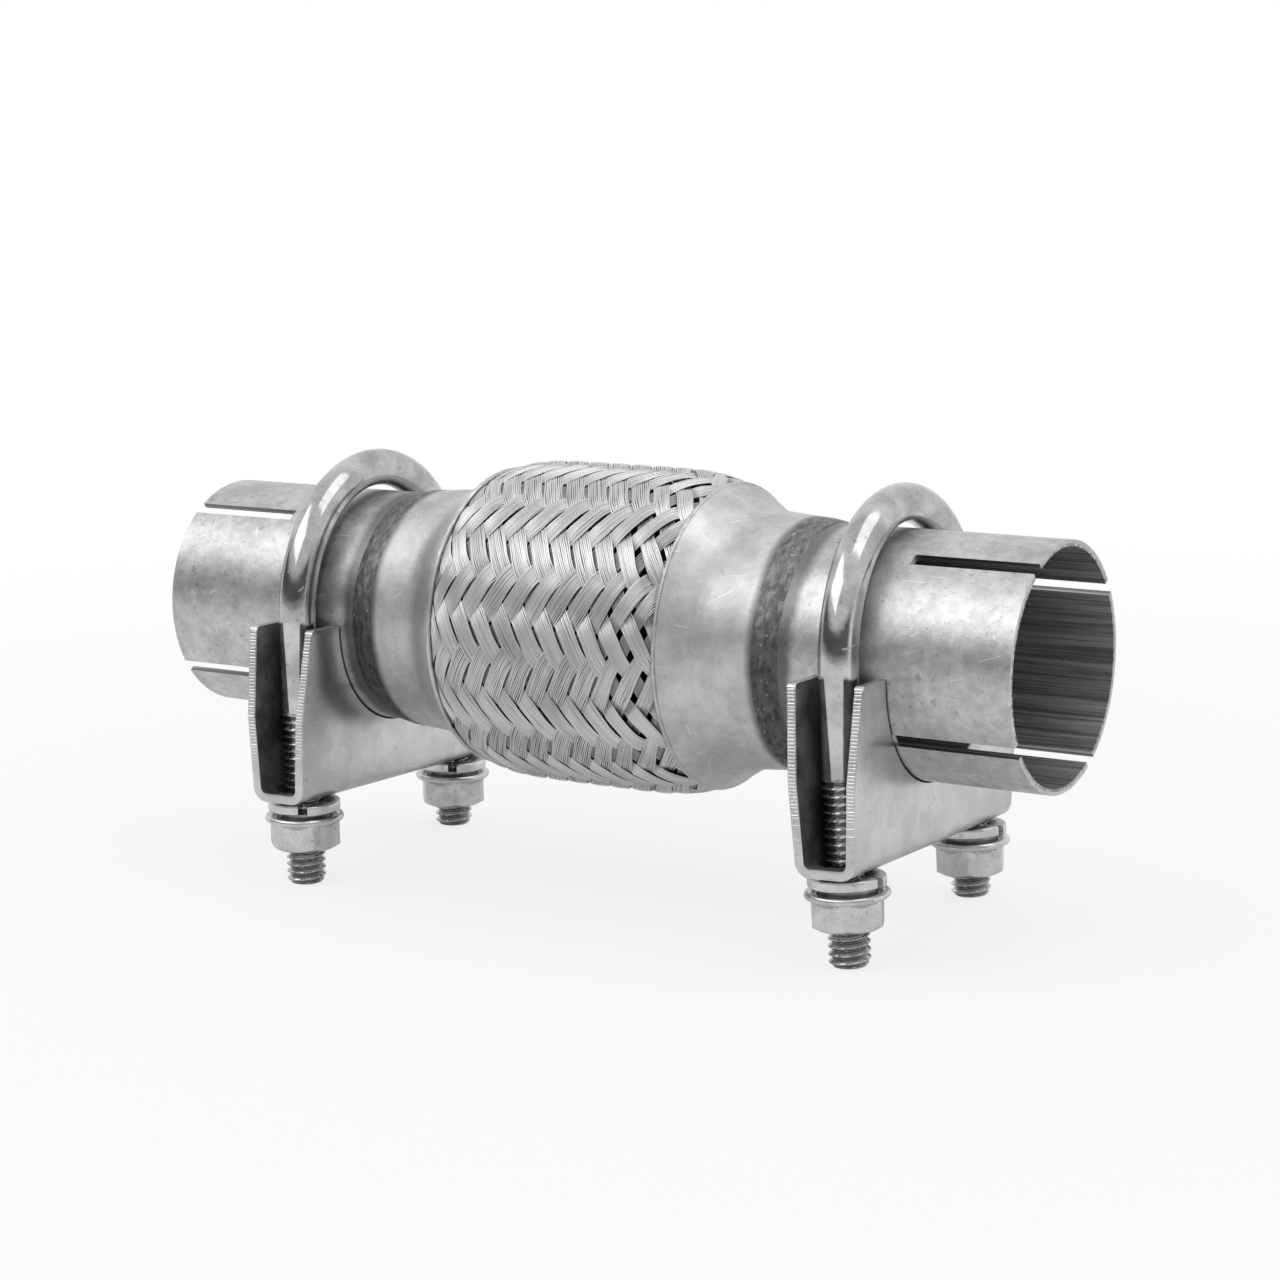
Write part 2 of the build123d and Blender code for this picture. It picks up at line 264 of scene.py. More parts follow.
def dressMetal(material, finish, skin, colour, metallic=1.0):
    # what the skin adds to the roughness, and what it adds to the relief
    rough = sum((skin[label] * share for label, share in finish["rougher"].items()), finish["roughness"])
    relief = sum(skin[label] * share for label, share in finish["relief"].items())
    strength, distance = finish["bump"]
    normal = get(relief.tree, "ShaderNodeBump", {"Height": relief, "Strength": strength, "Distance": distance})
    shader = material.node_tree.nodes["Principled BSDF"].inputs
    for name, value in {"Base Color": colour, "Roughness": rough, "Normal": normal, "Metallic": metallic}.items():
        plug(relief.tree, value, shader[name])
    return material


def grey(level):
    return (level, level, level * 0.995, 1.0)


def mixColour(share, first, second):
    return get(share.tree, "ShaderNodeMix", {0: share, 6: first, 7: second}, output=2, data_type="RGBA")


def shaded(level, tone):
    # a tone's grey, from its darker to its paler shade as the level climbs through the range
    darker, paler = (grey(tone["base"] * share) for share in tone["shades"])
    return mixColour(remap(level, *tone["range"]), darker, paler)


def marked(level, skin, finish):
    # a metal's own shades under its marks, real wear and painted shade alike: each says how strongly its mask
    # shows, and its grey
    colour = shaded(level, finish)
    for label, (strength, mark) in finish["marks"].items():
        colour = mixColour(skin[label] * strength, colour, grey(mark))
    return colour


def blend(first, second, share):
    return first * share + second * (1.0 - share)


def drawnOut(place, stretch, scale, detail, roughness=0.5):
    longer = get(place.tree, "ShaderNodeMapping", {"Vector": place, "Scale": stretch})
    return noise(longer, scale, detail, roughness)


def attribute(tree, name):
    return get(tree, "ShaderNodeAttribute", {}, "Fac", attribute_name=name)


shadeHeights = (11 * mm, -2 * mm)  # between these heights from the axis, the tint grows darker, as painted shade on the lower half
steep = 0.6  # a face whose normal holds more than this of a direction faces that way


# painted shade: climbs from 0 high on the pipe to 1 just below its axis, to darken the lower half
def belowAxis(place):
    above, below = shadeHeights
    return remap(separate(place)[2], pipeHeight + above, pipeHeight + below)


def heated(place, pipe, skin, finish):
    # how far the weld's heat has tinted a point, with a wavering edge, and the tint there, darker on the lower
    # half as painted shade
    wander = (skin["Clouds"] - 0.5) * finish["tintWander"]
    share = remap(pipe["Reach"] + wander, *finish["tintReach"])
    return share * finish["tintShare"], mixColour(belowAxis(place), *(grey(level) for level in finish["tint"]))


def sawnFace(pipe):
    # 1 on the long cut faces of a slot, which face neither out from the pipe nor along it
    facing = get(pipe["Radius"].tree, "ShaderNodeNewGeometry", {}, "True Normal")
    along = separate(facing)[0]
    whole = vectorMaths("DOT_PRODUCT", facing, {1: pipe["Centred"]}, "Value")
    radial = whole - along * separate(pipe["Centred"])[0]
    return (abs(radial / pipe["Radius"]) < steep) * (abs(along) < steep)


# finishes, each with its own settings above it: a range is where a shade or mask starts and where it is full,
# and tint and halves give the greys of the pipe's upper and lower half, the lower grey holding painted shade
stubFinish = {
    "clouds": 90.0, "specks": 700.0, "scratches": (250.0, 0.014), "blotches": (420.0, 5.0, 0.7),
    "cloudShare": 0.5, "base": 0.58, "range": (0.36, 0.64), "shades": (0.78, 1.16), "sawn": 0.2,
    # painted shade: the bore's grey is darker than the outside's
    "boreEdge": 23.1 * mm, "bore": {"base": 0.4, "range": (0.35, 0.68), "shades": (0.6, 1.7)},
    "drawn": ((8.0, 420.0, 420.0), 3.0, 5.0, 0.65),
    "marks": {"Dark Specks": (0.45, 0.2), "Bright Specks": (0.5, 0.85), "Scratches": (0.7, 0.86)},
    # the tint's second grey, for the lower half, is darker as painted shade
    "tint": (0.16, 0.09), "tintShare": 0.85, "tintReach": (53.4 * mm, 50.9 * mm), "tintWander": 3 * mm,
    "roughness": 0.33, "rougher": {"Clouds": 0.12, "Bore": 0.12}, "bump": (0.4, 0.0001),
    "relief": {"Grit": 0.6, "Streaks": 2.0, "Scratches": -0.8, "Blotches": 1.6}}


def makeStubSteel():
    material, place, skin = newMetal("stubSteel", stubFinish)
    pipe = useGroup(place.tree, placeOnPipe, vector=place)
    inBore = pipe["Radius"] < stubFinish["boreEdge"]
    level = blend(skin["Clouds"], noise(place, *stubFinish["blotches"]), stubFinish["cloudShare"])
    streak = drawnOut(place, *stubFinish["drawn"])
    skin |= {"Bore": inBore, "Blotches": level, "Streaks": streak * inBore}
    share, tintAndShade = heated(place, pipe, skin, stubFinish)
    outside = mixColour(share, marked(level, skin, stubFinish), tintAndShade)
    outside = mixColour(sawnFace(pipe), outside, grey(stubFinish["sawn"]))
    # painted shade: the bore's darker grey; its streaks are the tube's own drawing marks
    return dressMetal(material, stubFinish, skin, mixColour(inBore, outside, shaded(streak, stubFinish["bore"])))


collarFinish = {
    "clouds": 70.0, "specks": 800.0, "scratches": (240.0, 0.013), "blotches": (260.0, 5.0, 0.7),
    "cloudShare": 0.6, "base": 0.61, "range": (0.36, 0.64), "shades": (0.8, 1.13),
    "hoops": ((900.0, 25.0, 25.0), 1.0, 4.0), "hoopRange": (0.55, 0.7),
    "marks": {"Hoops": (0.18, 0.42), "Dark Specks": (0.3, 0.25), "Bright Specks": (0.35, 0.85),
              "Scratches": (0.6, 0.88)},
    # the tint's second grey, for the lower half, is darker as painted shade
    "tint": (0.2, 0.13), "tintShare": 0.9, "tintReach": (42.4 * mm, 44.3 * mm), "tintWander": 1.8 * mm,
    "roughness": 0.4, "rougher": {"Clouds": 0.1}, "bump": (0.4, 0.0001),
    "relief": {"Grit": 0.4, "Turned": 0.3, "Blotches": 2.2}}


def makeCollarSteel():
    material, place, skin = newMetal("collarSteel", collarFinish)
    pipe = useGroup(place.tree, placeOnPipe, vector=place)
    turned = drawnOut(place, *collarFinish["hoops"])
    level = blend(skin["Clouds"], noise(place, *collarFinish["blotches"]), collarFinish["cloudShare"])
    skin |= {"Turned": turned, "Hoops": remap(turned, *collarFinish["hoopRange"]), "Blotches": level}
    share, tintAndShade = heated(place, pipe, skin, collarFinish)
    return dressMetal(material, collarFinish, skin, mixColour(share, marked(level, skin, collarFinish), tintAndShade))


weldFinish = {
    # halves: the upper grey, and the lower grey darkened as painted shade
    "clouds": 120.0, "specks": 900.0, "pimples": 700.0, "pimpleRange": (0.18, 0.08), "halves": (0.17, 0.09),
    "range": (0.35, 0.68), "shades": (0.7, 1.6), "hoops": ((900.0, 420.0, 420.0), 1.0, 5.0, 0.6),
    "marks": {"Pimples": (0.35, 0.45), "Bright Specks": (0.7, 0.6)}, "metallic": 0.9,
    "roughness": 0.38, "rougher": {"Clouds": 0.15}, "bump": (0.6, 0.00012), "relief": {"Drawn": 0.8, "Grit": 1.0}}


def makeWeldTint():
    material, place, skin = newMetal("weldTintAndShade", weldFinish)
    drawn = drawnOut(place, *weldFinish["hoops"])
    pits = get(place.tree, "ShaderNodeTexVoronoi", {"Vector": place, "Scale": weldFinish["pimples"]}, "Distance")
    skin |= {"Drawn": drawn, "Pimples": remap(pits, *weldFinish["pimpleRange"])}
    # painted shade: the bead's lower half takes the darker of the two greys
    upper, lower = (marked(drawn, skin, {**weldFinish, "base": base}) for base in weldFinish["halves"])
    colour = mixColour(belowAxis(place), upper, lower)
    return dressMetal(material, weldFinish, skin, colour, weldFinish["metallic"])


wireFinish = {
    "clouds": 160.0, "specks": 1200.0, "base": 0.72, "range": (0.2, 0.75), "shades": (0.72, 1.1),
    # painted shade: wires darken to the last mark's grey where they dive under the others
    "shadeShare": 0.5, "sunkShadeRange": (0.1, -0.75), "marks": {"Sunk": (0.75, 0.24)},
    "roughness": 0.25, "rougher": {"Clouds": 0.14}, "bump": (0.15, 0.00003), "relief": {"Grit": 1.0}}


def makeBraidWire():
    material, place, skin = newMetal("braidWire", wireFinish)
    level = blend(attribute(place.tree, "strandShade"), skin["Clouds"], wireFinish["shadeShare"])
    # painted shade: a wire darkens where it dives under the crossing bundles
    skin["Sunk"] = remap(attribute(place.tree, "strandLift"), *wireFinish["sunkShadeRange"])
    return dressMetal(material, wireFinish, skin, marked(level, skin, wireFinish))


innerFinish = {
    "clouds": 80.0, "specks": 900.0, "cloudShare": 0.5, "drawn": ((20.0, 500.0, 500.0), 2.0, 4.0),
    "range": (0.35, 0.65), "shades": (0.7, 1.25), "rougher": {"Grit": 0.15}, "bump": (0.3, 0.00005),
    "relief": {"Grit": 1.0}}


def makeInnerSteel(name, base, roughness):
    # the thin folded and ribbed walls inside, seen through the weave and down the bore
    finish = {**innerFinish, "base": base, "roughness": roughness}
    material, place, skin = newMetal(name, finish)
    level = blend(skin["Clouds"], drawnOut(place, *finish["drawn"]), finish["cloudShare"])
    return dressMetal(material, finish, skin, shaded(level, finish))


bowFinish = {
    "clouds": 140.0, "specks": 800.0, "waves": (200.0, 3.0), "scratches": (210.0, 0.03),
    "base": 0.57, "range": (0.32, 0.7), "shades": (0.7, 1.15), "rootRange": (0.35, 1.0),
    "marks": {"Dark Specks": (0.6, 0.25), "Roots": (0.8, 0.2)},
    "roughness": 0.1, "rougher": {"Clouds": 0.06, "Scratches": 0.25, "Roots": 0.1}, "bump": (0.24, 0.00012),
    "relief": {"Waves": 2.0, "Grit": 0.15, "Scratches": -1.0}}


def makeBowPlate():
    material, place, skin = newMetal("bowPlate", bowFinish)
    skin["Roots"] = remap(attribute(place.tree, "threadRoot"), *bowFinish["rootRange"])
    skin["Waves"] = noise(place, *bowFinish["waves"])
    return dressMetal(material, bowFinish, skin, marked(skin["Clouds"], skin, bowFinish))


saddleFinish = {
    "clouds": 110.0, "specks": 650.0, "spangle": 260.0, "cloudShare": 0.85, "scratches": (150.0, 0.02),
    "base": 0.66, "range": (0.32, 0.7), "shades": (0.88, 1.1),
    # painted shade: the darker grey of the channel's inside faces, for the shade between its walls
    "inside": {"base": 0.2, "range": (0.36, 0.64), "shades": (0.6, 1.5)},
    "marks": {"Dark Specks": (0.35, 0.3), "Scratches": (0.4, 0.85)},
    "roughness": 0.26, "rougher": {"Clouds": 0.12, "Inside": 0.3}, "bump": (0.35, 0.00008),
    "relief": {"Grit": 1.0, "Clouds": 2.0}}


def makeSaddleZinc():
    material, place, skin = newMetal("saddleZinc", saddleFinish)
    cells = get(place.tree, "ShaderNodeTexVoronoi", {"Vector": place, "Scale": saddleFinish["spangle"]}, "Color")
    spangle = get(place.tree, "ShaderNodeSeparateColor", {0: cells})
    skin["Inside"] = attribute(place.tree, "paintedInsideShade")
    level = blend(skin["Clouds"], spangle, saddleFinish["cloudShare"])
    # painted shade: the inside faces take the darker grey
    bright, shadedInside = marked(level, skin, saddleFinish), shaded(skin["Clouds"], saddleFinish["inside"])
    return dressMetal(material, saddleFinish, skin, mixColour(skin["Inside"], bright, shadedInside))


fastenerFinish = {
    "clouds": 260.0, "specks": 1300.0, "scratches": (380.0, 0.03), "range": (0.3, 0.7), "shades": (0.82, 1.12),
    # painted shade: the last mark is the dark dish under the washer
    "dishShading": (0.7, 0.5), "marks": {"Dark Specks": (0.5, 0.2), "Scratches": (0.5, 0.85), "Dish Shade": (1.0, 0.05)},
    "rougher": {"Clouds": 0.15}, "bump": (0.3, 0.00004), "relief": {"Grit": 1.0}}


def makeFastenerZinc(name, base, roughness):
    finish = {**fastenerFinish, "base": base, "roughness": roughness}
    material, place, skin = newMetal(name, finish)
    thin, uneven = finish["dishShading"]
    # painted shade: the dish under the washer is darkened, unevenly
    skin["Dish Shade"] = calc("MULTIPLY", attribute(place.tree, "paintedDishShade"), thin + skin["Clouds"] * uneven, clamp=True)
    return dressMetal(material, finish, skin, marked(skin["Clouds"], skin, finish))


stubSteel = makeStubSteel()
collarSteel = makeCollarSteel()
weldTintAndShade = makeWeldTint()
braidWire = makeBraidWire()
bellowsSteel = makeInnerSteel("bellowsSteel", 0.16, 0.4)
sleeveSteel = makeInnerSteel("sleeveSteel", 0.2, 0.45)
bowPlate = makeBowPlate()
saddleZinc = makeSaddleZinc()
nutZinc = makeFastenerZinc("nutZinc", 0.66, 0.17)
washerZinc = makeFastenerZinc("washerZinc", 0.72, 0.18)
print("finishes made")


# helpers for pieces
def addObject(name, data):
    thing = bpy.data.objects.new(name, data)
    scene.collection.objects.link(thing)
    return thing


def newPiece(name, mesh, material, cadNode):
    piece = addObject(name, mesh)
    mesh.materials.clear()
    mesh.materials.append(material)
    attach(piece, "root")
    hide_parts(cadNode)


def growMesh(name, tree, settings):
    # runs a Geometry Nodes tree on an empty mesh and keeps only the plain result
    values = {socketName(key): value for key, value in settings.items()}
    carrier = addObject(name + "Carrier", bpy.data.meshes.new(name + "Carrier"))
    modifier = carrier.modifiers.new("grow", "NODES")
    modifier.node_group = tree
    for item in tree.interface.items_tree:
        if item.item_type == "SOCKET" and item.in_out == "INPUT" and item.name in values:
            modifier[item.identifier] = values[item.name]
    carrier.data.update()
    bpy.context.view_layer.update()
    mesh = bpy.data.meshes.new_from_object(carrier.evaluated_get(bpy.context.evaluated_depsgraph_get()))
    mesh.name = name
    carrier.modifiers.remove(modifier)
    bpy.data.objects.remove(carrier)
    return mesh


def finishMesh(work, name):
    mesh = bpy.data.meshes.new(name)
    work.to_mesh(mesh)
    work.free()
    return mesh


def turnFacesOut(mesh):
    work = bmesh.new()
    work.from_mesh(mesh)
    bmesh.ops.recalc_face_normals(work, faces=work.faces)
    work.to_mesh(mesh)
    work.free()


def smoothByAngle(mesh, degrees):
    mesh.shade_smooth()
    work = bmesh.new()
    work.from_mesh(mesh)
    for edge in work.edges:
        edge.smooth = len(edge.link_faces) != 2 or edge.calc_face_angle() < math.radians(degrees)
    work.to_mesh(mesh)
    work.free()


def newShapeTree(name, settings):
    # its named inputs start at the piece's own sizes
    inputs = {"geometry": "NodeSocketGeometry", **settings, "material": "NodeSocketMaterial"}
    tree, given, out = newGroup(name, "GeometryNodeTree", inputs, {"Geometry": "NodeSocketGeometry"})
    return tree, given, out["Geometry"]


def ownPlace(tree):
    return get(tree, "GeometryNodeInputPosition", {})


def closeTree(shape, given, out):
    whole = get(shape.tree, "GeometryNodeRealizeInstances", {"Geometry": shape})
    dressed = get(shape.tree, "GeometryNodeSetMaterial", {"Geometry": whole, "Material": given.material})
    plug(shape.tree, dressed, out)
    return shape.tree


def lineOfPoints(tree, count, start=(0.0, 0.0, 0.0), end=(0.0, 0.0, 1.0)):
    line = get(tree, "GeometryNodeCurvePrimitiveLine", {"Start": start, "End": end})
    return get(tree, "GeometryNodeResampleCurve", {"Curve": line, "Count": count})


def circle(points, radius):
    return get(radius.tree, "GeometryNodeCurvePrimitiveCircle", {"Resolution": points, "Radius": radius})


def sweep(path, section, caps=True):
    return get(path.tree, "GeometryNodeCurveToMesh", {"Curve": path, "Profile Curve": section, "Fill Caps": caps})


def moved(shape, position):
    return get(shape.tree, "GeometryNodeSetPosition", {"Geometry": shape, "Position": position})


def store(shape, name, value, kind="FLOAT"):
    # a value that stays on the points, for later nodes or for the finish
    return get(shape.tree, "GeometryNodeStoreNamedAttribute", {"Geometry": shape, "Name": name, "Value": value},
               data_type=kind, domain="POINT")


def randomShare(seed, number):
    return get(seed.tree, "FunctionNodeRandomValue", {"ID": number, "Seed": seed}, output=1, data_type="FLOAT")


# the woven braid: 24 bundles of wire lean each way, and each float passes over two of the others
braid = {
    "bundles": 24, "wires": 10, "halfLength": 27.0 * mm, "middleRadius": 31.95 * mm, "endDrop": 3.0 * mm,
    "barrelHalf": 26.0 * mm, "lead": math.radians(3.0) / mm, "startTurn": math.radians(-1.0),
    "rowTurn": math.radians(2.75), "lift": 0.26 * mm, "crown": 0.12 * mm, "wireRadius": 0.205 * mm,
    "unevenness": 0.25, "fill": 0.97, "pinch": 0.14, "dive": 2.2, "diveDepth": 1.04, "quicken": 0.035,
    "nudge": 0.16, "sway": 0.3, "swayGrain": 110.0, "tremble": 0.16, "trembleGrain": 170.0, "wander": 0.45,
    "ruffle": 5.0, "ruffleFrom": 11.0 * mm, "ruffleTo": 21.0 * mm, "thinning": 0.2, "points": 80, "sides": 5}
bundleStep, wireStep = 3.7, 5.3  # how far apart in the noise two neighbours lie


def makeBraidTree():
    tree, given, out = newShapeTree(
        "wovenBundles", {**braid, "axisHeight": pipeHeight, "slant": 1.0, "seed": 1})
    bundles, wires, slant, seed = given.bundles, given.wires, given.slant, given.seed
    line = lineOfPoints(
        tree, given.points, combine(tree, -given.halfLength), combine(tree, given.halfLength))
    copies = addNode(tree, "GeometryNodeDuplicateElements", {"Geometry": line, "Amount": bundles * wires},
                     domain="SPLINE").outputs
    index = Feed(copies["Duplicate Index"])
    bundle = calc("FLOOR", (index + 0.5) / wires)
    wire = index - bundle * wires
    share = (wire + 0.5) / wires - 0.5

    x = separate(ownPlace(tree))[0]
    reach = x / given.barrelHalf
    # the wires keep their angle where the barrel narrows, so they turn a little faster there
    quicker = 1.0 + given.quicken * abs(reach) ** 4.0
    pitchTurn = calc("DIVIDE", math.tau, bundles)
    spiral = slant * given.lead * (x * quicker)

    # a bundle strays as a whole and each wire trembles, most where the weave was pushed about at the right collar
    bundleChance, wireChance = randomShare(seed, bundle), randomShare(seed, index)
    drift = noise(combine(tree, x * given.swayGrain, bundle * bundleStep, slant), 1.0, 1.0)
    quiver = noise(combine(tree, x * given.trembleGrain, index * wireStep, slant), 1.0, 1.0)
    loose = (drift - 0.5) * given.sway + (bundleChance - 0.5) * given.nudge
    rightEnd = remap(x, given.ruffleFrom, given.ruffleTo)
    stray = (loose * (1.0 + rightEnd * given.ruffle) + (quiver - 0.5) * given.tremble) * given.wander

    middle = bundle * pitchTurn + given.startTurn + spiral
    hump = sine((middle - given.rowTurn) * (bundles * 0.5))
    # a bundle draws in where it dives and opens out on its float
    width = given.fill * (1.0 - given.pinch * (1.0 - hump * hump)) * (1.0 - rightEnd * given.thinning)
    turn = middle + pitchTurn * (share * width + stray)

    # the bundles that it dives under lie aslant, so a float's two ends are cut to a point
    slanted = middle + pitchTurn * 0.5 * share
    swing = calc("TANH", sine((slanted - given.rowTurn) * (bundles * 0.5)) * given.dive)
    over = swing * slant * -given.diveDepth
    rounded = 0.25 - share * share
    rise = over * given.lift + rounded * 4.0 * (given.crown * over)
    jitter = (wireChance - 0.5) * (given.wireRadius * given.unevenness)
    drop = given.endDrop * abs(reach) ** 6.0
    radius = given.middleRadius - drop + (rise + jitter)
    target = combine(tree, x, radius * -sine(turn), radius * cosine(turn) + given.axisHeight)
    bent = moved(Feed(copies[0]), target)
    shaded = store(bent, "strandShade", wireChance * 0.5 + bundleChance * 0.5)
    lifted = store(shaded, "strandLift", over)
    tubes = sweep(lifted, circle(given.sides, given.wireRadius))
    return closeTree(get(tree, "GeometryNodeSetShadeSmooth", {"Geometry": tubes}), given, out)


braidTree = makeBraidTree()
for slant, label, seed in ((1.0, "braidBundlesLeaningRight", 11), (-1.0, "braidBundlesLeaningLeft", 29)):
    mesh = growMesh(label, braidTree, {**braid, "slant": slant, "seed": seed, "material": braidWire})
    newPiece(label, mesh, braidWire, "outer_braid")
    print(label, len(mesh.polygons), "faces")


# the bows: one rod each, bent over the pipe, with a thread rolled into both of its legs
bow = {
    "archCentre": 0.7 * mm, "rodRadius": 3.8 * mm, "threadLength": 36.2 * mm, "pitch": 1.5 * mm,
    "flankSlope": 1.35, "rootFlat": 0.17, "runout": 0.7, "crestRadius": 4.0 * mm, "rootRadius": 3.2 * mm,
    "tip": 0.9 * mm, "fineStep": 0.13 * mm, "coarseStep": 1.0 * mm, "sides": 32}


def makeBowTree():
    tree, given, out = newShapeTree("threadedBow", {**bow, "legReach": legReach, "foot": -pipeHeight})
    reach, pitch, threadLength = given.legReach, given.pitch, given.threadLength
    crest, root, rodRadius = given.crestRadius, given.rootRadius, given.rodRadius
    straight = given.archCentre - given.foot
    arch = reach * math.pi
    between = arch + (straight - threadLength) * 2.0
    threadSteps = calc("ROUND", threadLength / given.fineStep)
    betweenSteps = calc("ROUND", between / given.coarseStep)
    path = lineOfPoints(tree, threadSteps * 2.0 + betweenSteps + 1.0)

    # close rings along the threads and wide ones over the arch
    step = get(tree, "GeometryNodeInputIndex", {})
    pastThread = step - threadSteps
    fine = least(step, threadSteps) + most(pastThread - betweenSteps, 0.0)
    coarse = least(most(pastThread, 0.0), betweenSteps)
    run = fine * (threadLength / threadSteps) + coarse * (between / betweenSteps)
    total = straight * 2.0 + arch
    bend = least(most((run - straight) / reach, 0.0), math.pi)
    below = most(straight - run, 0.0) + most(run - (straight + arch), 0.0)
    bent = moved(path, combine(tree, 0.0, cosine(bend) * -reach, given.archCentre + sine(bend) * reach - below))
    middled = store(bent, "rodCentre", ownPlace(tree), "FLOAT_VECTOR")
    measured = store(middled, "footDistance", least(run, total - run))
    rod = sweep(measured, circle(given.sides, rodRadius))

    # the thread is cut into the rod's skin by how far a point has climbed and how far round it lies
    centre = get(tree, "GeometryNodeInputNamedAttribute", {"Name": "rodCentre"}, data_type="FLOAT_VECTOR")
    foot = get(tree, "GeometryNodeInputNamedAttribute", {"Name": "footDistance"}, data_type="FLOAT")
    fromCentre = vectorMaths("SUBTRACT", ownPlace(tree), {1: centre})
    across, away, up = separate(fromCentre)
    aroundRod = calc("ARCTAN2", away, across) / math.tau
    saw = calc("FRACT", foot / pitch - aroundRod)
    ridge = calc("SUBTRACT", abs(saw * 2.0 - 1.0) * given.flankSlope, given.rootFlat, clamp=True)
    plain = remap(foot, threadLength - pitch * given.runout, threadLength)
    skin = (root + ridge * (crest - root)) * (1.0 - plain) + rodRadius * plain
    skin = least(skin, crest - given.tip + foot)
    pushed = vectorMaths("SCALE", fromCentre, {"Scale": skin / rodRadius})
    deep = store(rod, "threadRoot", (1.0 - ridge) * (1.0 - plain))
    return closeTree(moved(deep, vectorMaths("ADD", centre, {1: pushed})), given, out)


bowTree = makeBowTree()
for end, fit in clampFits.items():
    tilt = math.radians(fit["tilt"])
    foot = ((bow["crestRadius"] - bow["tip"]) * abs(math.sin(tilt)) - pipeHeight) / math.cos(tilt)
    mesh = growMesh(end + "ThreadedBow", bowTree, {**bow, "foot": foot, "material": bowPlate})
    mesh.transform(clampFrame(end))
    smoothByAngle(mesh, degrees=34)
    newPiece(end + "ThreadedBow", mesh, bowPlate, end + "_bow")
    print(end, "bow", len(mesh.polygons), "faces")


# spring washers: one open turn of flat wire with rounded edges
washer = {
    "radius": 5.75 * mm, "width": 3.3 * mm, "thickness": 2.0 * mm, "rise": 0.3 * mm, "sweep": math.radians(346.0),
    "corner": 0.35 * mm, "steps": 96}
washerTurn = {"left": -50.0, "right": 0.0}


def makeWasherTree():
    tree, given, out = newShapeTree("springWasher", washer)
    path = lineOfPoints(tree, given.steps)
    along = get(tree, "GeometryNodeSplineParameter", {})
    turn = along * given.sweep
    coiled = moved(path, combine(tree, cosine(turn) * given.radius, sine(turn) * given.radius,
                                 along * given.rise + given.thickness * 0.5))
    upright = get(tree, "GeometryNodeSetCurveNormal", {"Curve": coiled}, mode="Z_UP")
    section = get(tree, "GeometryNodeCurvePrimitiveQuadrilateral", {
        "Width": given.width, "Height": given.thickness})
    rounded = get(tree, "GeometryNodeFilletCurve", {"Curve": section, "Radius": given.corner, "Count": 4},
                  mode="POLY")
    return closeTree(sweep(upright, rounded), given, out)


# flange nuts: a chamfered six-sided body under a dished flange with a rolled rim
# in millimetres: a pair is a height above the nut's foot and a radius there, but body holds two heights
nut = {
    "flats": 13.0, "cornerRadius": 7.4, "height": 7.9, "around": 120,
    "foot": ((7.6, 4.05), (0.35, 4.05), (0.0, 4.4), (0.0, 5.9)),
    "chamferStart": 5.9, "chamfer": 1.73, "chamferStep": 0.08, "chamferRings": 12, "body": (3.2, 4.9),
    "flare": ((5.3, 6.85), (5.7, 7.3), (6.0, 7.6)),
    "rimCentre": (6.5, 7.38), "rimRadius": 0.72, "rimAngles": range(-50, 141, 19),
    "dish": ((6.6, 6.5), (6.6, 5.7), (7.2, 5.4), (7.9, 5.2), (7.9, 4.4)), "shadedDishRings": 2,
    "turn": {"leftNear": 19.0, "leftFar": 8.0, "rightNear": 52.0, "rightFar": 50.0}}


def nutRings():
    # each ring's height, and the least and the greatest reach that its six-sided outline is held to
    heights = [nut["chamferStep"] * (i + 1) for i in range(nut["chamferRings"])] + list(nut["body"])
    level, radius = nut["rimCentre"]
    curl = nut["rimRadius"]
    leans = [math.radians(degrees) for degrees in nut["rimAngles"]]
    rim = [(level + curl * math.sin(lean), radius + curl * math.cos(lean)) for lean in leans]
    rings = [(height, reach, reach) for height, reach in nut["foot"]]
    rings += [(height, 0.0, nut["chamferStart"] + nut["chamfer"] * height) for height in heights]
    rings += [(height, reach, math.inf) for height, reach in nut["flare"]]
    rings += [(height, reach, reach) for height, reach in (*rim, *nut["dish"])]
    return rings


def makeNutMesh(name, turn):
    rings, around = nutRings(), nut["around"]
    work = bmesh.new()
    loops = []
    for height, low, high in rings:
        loop = []
        for i in range(around):
            angle = math.tau * i / around
            toFlat = math.radians(math.degrees(angle) % 60.0 - 30.0)
            side = min(nut["flats"] / 2 / math.cos(toFlat), nut["cornerRadius"])
            reach = min(max(side, low), high)
            spin = angle + math.radians(turn)
            loop.append(work.verts.new(mm * Vector((reach * math.cos(spin), reach * math.sin(spin), height))))
        loops.append(loop)
    for lower, upper in zip(loops, loops[1:] + loops[:1]):
        for i in range(around):
            j = (i + 1) % around
            work.faces.new((lower[i], lower[j], upper[j], upper[i]))
    bmesh.ops.recalc_face_normals(work, faces=work.faces)
    mesh = finishMesh(work, name)
    # painted shade: the dish under the washer is darkened, for the shade in the gap between them
    dish = len(rings) - len(nut["dish"])
    paintedDishShade = mesh.attributes.new("paintedDishShade", "FLOAT", "POINT")
    for i in range(len(mesh.vertices)):
        paintedDishShade.data[i].value = float(dish <= i // around <= dish + nut["shadedDishRings"])
    return mesh


